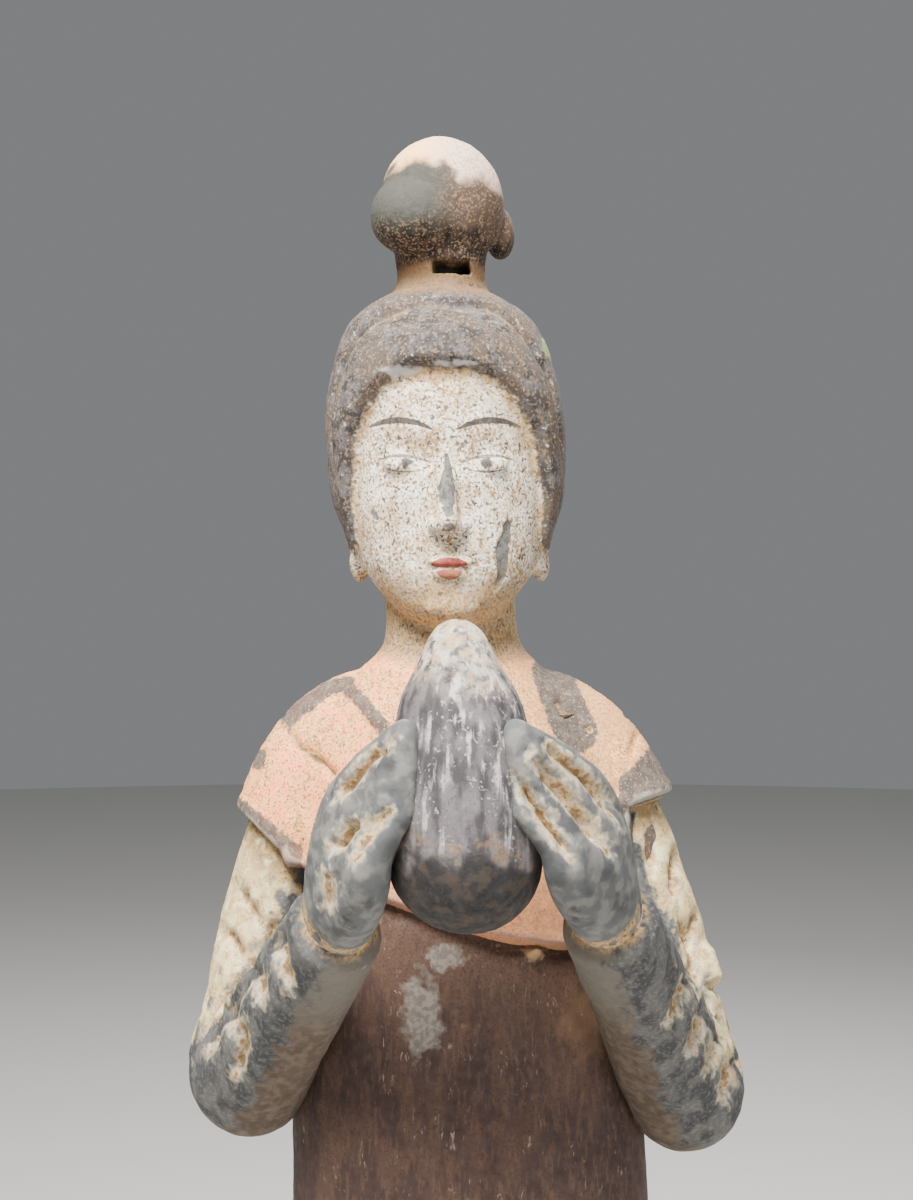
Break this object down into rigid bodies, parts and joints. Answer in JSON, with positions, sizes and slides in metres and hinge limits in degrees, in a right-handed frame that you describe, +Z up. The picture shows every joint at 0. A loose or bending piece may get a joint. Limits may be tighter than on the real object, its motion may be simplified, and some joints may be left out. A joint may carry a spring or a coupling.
{
  "type": "pottery maid figurine",
  "caption": "Standing pottery maid with a topknot, holding a drop-shaped bundle before her chest, fired as one piece with a low slab base.",
  "frame": {"origin": "centre of the slab's flat underside", "axes": "+Z up through the figure; she faces -Y; +X is to her left"},
  "size_m": [0.121, 0.1227, 0.4399],
  "materials": {
    "painted_earthenware": null
  },
  "bodies": {
    "root": {"maid_figurine": "painted_earthenware"}
  },
  "joints": []
}
